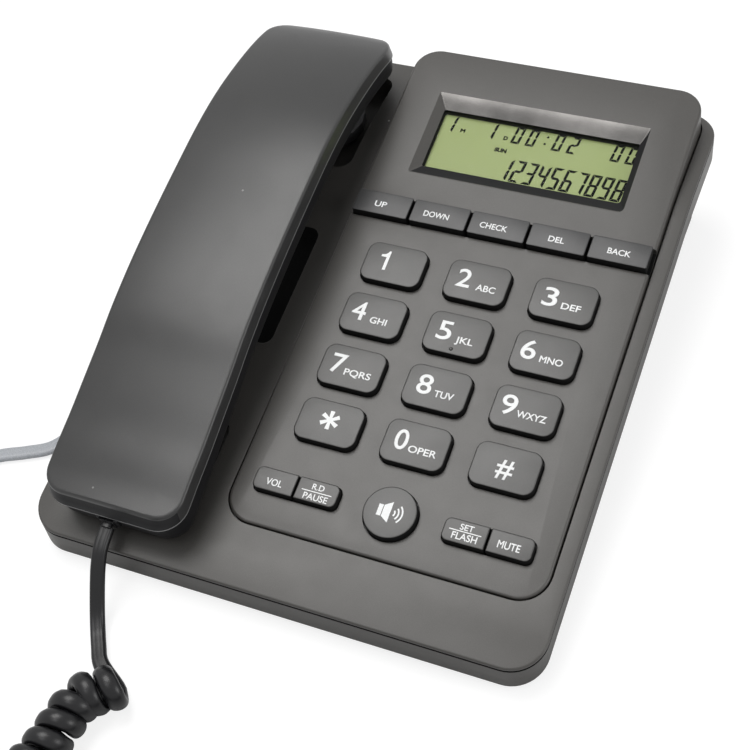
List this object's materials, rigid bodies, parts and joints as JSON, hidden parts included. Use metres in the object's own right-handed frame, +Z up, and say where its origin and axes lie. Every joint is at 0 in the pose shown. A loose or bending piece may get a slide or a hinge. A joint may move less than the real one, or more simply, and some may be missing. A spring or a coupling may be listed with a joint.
{
  "type": "corded telephone",
  "caption": "Push-button desk telephone with a display, a handset in its cradle on a curly cord and a line cord put away in a coil.",
  "frame": {"origin": "middle of the base's outline, on the surface that its rubber feet stand on", "axes": "+X to the user's right, +Y to the back of the telephone, +Z up"},
  "size_m": [0.2741, 0.3383, 0.0679],
  "materials": {
    "shell_plastic": "satin, fine grain",
    "key_plastic": "satin with white printed legends",
    "display_window": "clear, polished",
    "display_glass": "yellow-green reflective display",
    "cord_black": "smooth flexible jacket",
    "cord_grey": "smooth flexible jacket",
    "clear_plastic": "clear moulded",
    "socket_plastic": "moulded",
    "mat_rubber": "matt",
    "foot_rubber": "matt",
    "circuit_board": "lacquered",
    "steel": "zinc plated",
    "battery_jacket": "printed film jacket without lettering"
  },
  "bodies": {
    "base": {"battery_1": "battery_jacket", "battery_2": "battery_jacket", "display_lens": "display_window", "display_module": "display_glass", "foot_front_left": "foot_rubber", "foot_front_right": "foot_rubber", "foot_rear_left": "foot_rubber", "foot_rear_right": "foot_rubber", "handset_cord_curls": "cord_black", "handset_cord_free_plug": "clear_plastic", "handset_cord_lead": "cord_black", "handset_cord_tail": "cord_black", "handset_jack": "socket_plastic", "hook_switch": "socket_plastic", "key_mat": "mat_rubber", "keypad_panel": "shell_plastic", "line_cord": "cord_grey", "line_cord_coil": "cord_grey", "line_free_plug": "clear_plastic", "line_jack": "socket_plastic", "line_plug": "clear_plastic", "loudspeaker": "steel", "lower_housing": "shell_plastic", "main_board": "circuit_board", "screw_front_left": "steel", "screw_front_right": "steel", "screw_rear_left": "steel", "screw_rear_right": "steel", "upper_housing": "shell_plastic"},
    "handset": {"handset_upper_shell": "shell_plastic", "handset_lower_shell": "shell_plastic", "receiver_capsule": "socket_plastic", "microphone_capsule": "steel", "handset_weight": "steel", "handset_socket": "socket_plastic", "handset_cord_plug": "clear_plastic"},
    "hook_plunger": {"hook_plunger": "key_plastic"},
    "battery_door": {"battery_door": "shell_plastic"},
    "key_0": {"key_0": "key_plastic"},
    "key_1": {"key_1": "key_plastic"},
    "key_2": {"key_2": "key_plastic"},
    "key_3": {"key_3": "key_plastic"},
    "key_4": {"key_4": "key_plastic"},
    "key_5": {"key_5": "key_plastic"},
    "key_6": {"key_6": "key_plastic"},
    "key_7": {"key_7": "key_plastic"},
    "key_8": {"key_8": "key_plastic"},
    "key_9": {"key_9": "key_plastic"},
    "key_star": {"key_star": "key_plastic"},
    "key_hash": {"key_hash": "key_plastic"},
    "up_key": {"up_key": "key_plastic"},
    "down_key": {"down_key": "key_plastic"},
    "check_key": {"check_key": "key_plastic"},
    "delete_key": {"delete_key": "key_plastic"},
    "back_key": {"back_key": "key_plastic"},
    "volume_key": {"volume_key": "key_plastic"},
    "redial_pause_key": {"redial_pause_key": "key_plastic"},
    "speaker_key": {"speaker_key": "key_plastic"},
    "set_flash_key": {"set_flash_key": "key_plastic"},
    "mute_key": {"mute_key": "key_plastic"}
  },
  "joints": [
    {"name": "handset_lift", "type": "slide", "parent": "base", "child": "handset", "axis": [0, 0, 1], "range_m": [0, 0.04]},
    {"name": "hook_plunger_slide", "type": "slide", "parent": "base", "child": "hook_plunger", "axis": [0, 0, 1], "range_m": [0, 0.0035]},
    {"name": "battery_door_slide", "type": "slide", "parent": "base", "child": "battery_door", "axis": [0, 1, 0], "range_m": [0, 0.006]},
    {"name": "key_0_press", "type": "slide", "parent": "base", "child": "key_0", "axis": [0, 0.1908, -0.9816], "range_m": [0, 0.0013], "stiffness_N_per_m": 500, "springref_m": -0.0004},
    {"name": "key_1_press", "type": "slide", "parent": "base", "child": "key_1", "axis": [0, 0.1908, -0.9816], "range_m": [0, 0.0013], "stiffness_N_per_m": 500, "springref_m": -0.0004},
    {"name": "key_2_press", "type": "slide", "parent": "base", "child": "key_2", "axis": [0, 0.1908, -0.9816], "range_m": [0, 0.0013], "stiffness_N_per_m": 500, "springref_m": -0.0004},
    {"name": "key_3_press", "type": "slide", "parent": "base", "child": "key_3", "axis": [0, 0.1908, -0.9816], "range_m": [0, 0.0013], "stiffness_N_per_m": 500, "springref_m": -0.0004},
    {"name": "key_4_press", "type": "slide", "parent": "base", "child": "key_4", "axis": [0, 0.1908, -0.9816], "range_m": [0, 0.0013], "stiffness_N_per_m": 500, "springref_m": -0.0004},
    {"name": "key_5_press", "type": "slide", "parent": "base", "child": "key_5", "axis": [0, 0.1908, -0.9816], "range_m": [0, 0.0013], "stiffness_N_per_m": 500, "springref_m": -0.0004},
    {"name": "key_6_press", "type": "slide", "parent": "base", "child": "key_6", "axis": [0, 0.1908, -0.9816], "range_m": [0, 0.0013], "stiffness_N_per_m": 500, "springref_m": -0.0004},
    {"name": "key_7_press", "type": "slide", "parent": "base", "child": "key_7", "axis": [0, 0.1908, -0.9816], "range_m": [0, 0.0013], "stiffness_N_per_m": 500, "springref_m": -0.0004},
    {"name": "key_8_press", "type": "slide", "parent": "base", "child": "key_8", "axis": [0, 0.1908, -0.9816], "range_m": [0, 0.0013], "stiffness_N_per_m": 500, "springref_m": -0.0004},
    {"name": "key_9_press", "type": "slide", "parent": "base", "child": "key_9", "axis": [0, 0.1908, -0.9816], "range_m": [0, 0.0013], "stiffness_N_per_m": 500, "springref_m": -0.0004},
    {"name": "key_star_press", "type": "slide", "parent": "base", "child": "key_star", "axis": [0, 0.1908, -0.9816], "range_m": [0, 0.0013], "stiffness_N_per_m": 500, "springref_m": -0.0004},
    {"name": "key_hash_press", "type": "slide", "parent": "base", "child": "key_hash", "axis": [0, 0.1908, -0.9816], "range_m": [0, 0.0013], "stiffness_N_per_m": 500, "springref_m": -0.0004},
    {"name": "up_key_press", "type": "slide", "parent": "base", "child": "up_key", "axis": [0, 0.1908, -0.9816], "range_m": [0, 0.0013], "stiffness_N_per_m": 500, "springref_m": -0.0004},
    {"name": "down_key_press", "type": "slide", "parent": "base", "child": "down_key", "axis": [0, 0.1908, -0.9816], "range_m": [0, 0.0013], "stiffness_N_per_m": 500, "springref_m": -0.0004},
    {"name": "check_key_press", "type": "slide", "parent": "base", "child": "check_key", "axis": [0, 0.1908, -0.9816], "range_m": [0, 0.0013], "stiffness_N_per_m": 500, "springref_m": -0.0004},
    {"name": "delete_key_press", "type": "slide", "parent": "base", "child": "delete_key", "axis": [0, 0.1908, -0.9816], "range_m": [0, 0.0013], "stiffness_N_per_m": 500, "springref_m": -0.0004},
    {"name": "back_key_press", "type": "slide", "parent": "base", "child": "back_key", "axis": [0, 0.1908, -0.9816], "range_m": [0, 0.0013], "stiffness_N_per_m": 500, "springref_m": -0.0004},
    {"name": "volume_key_press", "type": "slide", "parent": "base", "child": "volume_key", "axis": [0, 0.1908, -0.9816], "range_m": [0, 0.0013], "stiffness_N_per_m": 500, "springref_m": -0.0004},
    {"name": "redial_pause_key_press", "type": "slide", "parent": "base", "child": "redial_pause_key", "axis": [0, 0.1908, -0.9816], "range_m": [0, 0.0013], "stiffness_N_per_m": 500, "springref_m": -0.0004},
    {"name": "speaker_key_press", "type": "slide", "parent": "base", "child": "speaker_key", "axis": [0, 0.1908, -0.9816], "range_m": [0, 0.0013], "stiffness_N_per_m": 500, "springref_m": -0.0004},
    {"name": "set_flash_key_press", "type": "slide", "parent": "base", "child": "set_flash_key", "axis": [0, 0.1908, -0.9816], "range_m": [0, 0.0013], "stiffness_N_per_m": 500, "springref_m": -0.0004},
    {"name": "mute_key_press", "type": "slide", "parent": "base", "child": "mute_key", "axis": [0, 0.1908, -0.9816], "range_m": [0, 0.0013], "stiffness_N_per_m": 500, "springref_m": -0.0004}
  ],
  "couplings": [
    {"joint": "hook_plunger_slide", "follows": "handset_lift", "ratio": 0.0875}
  ]
}
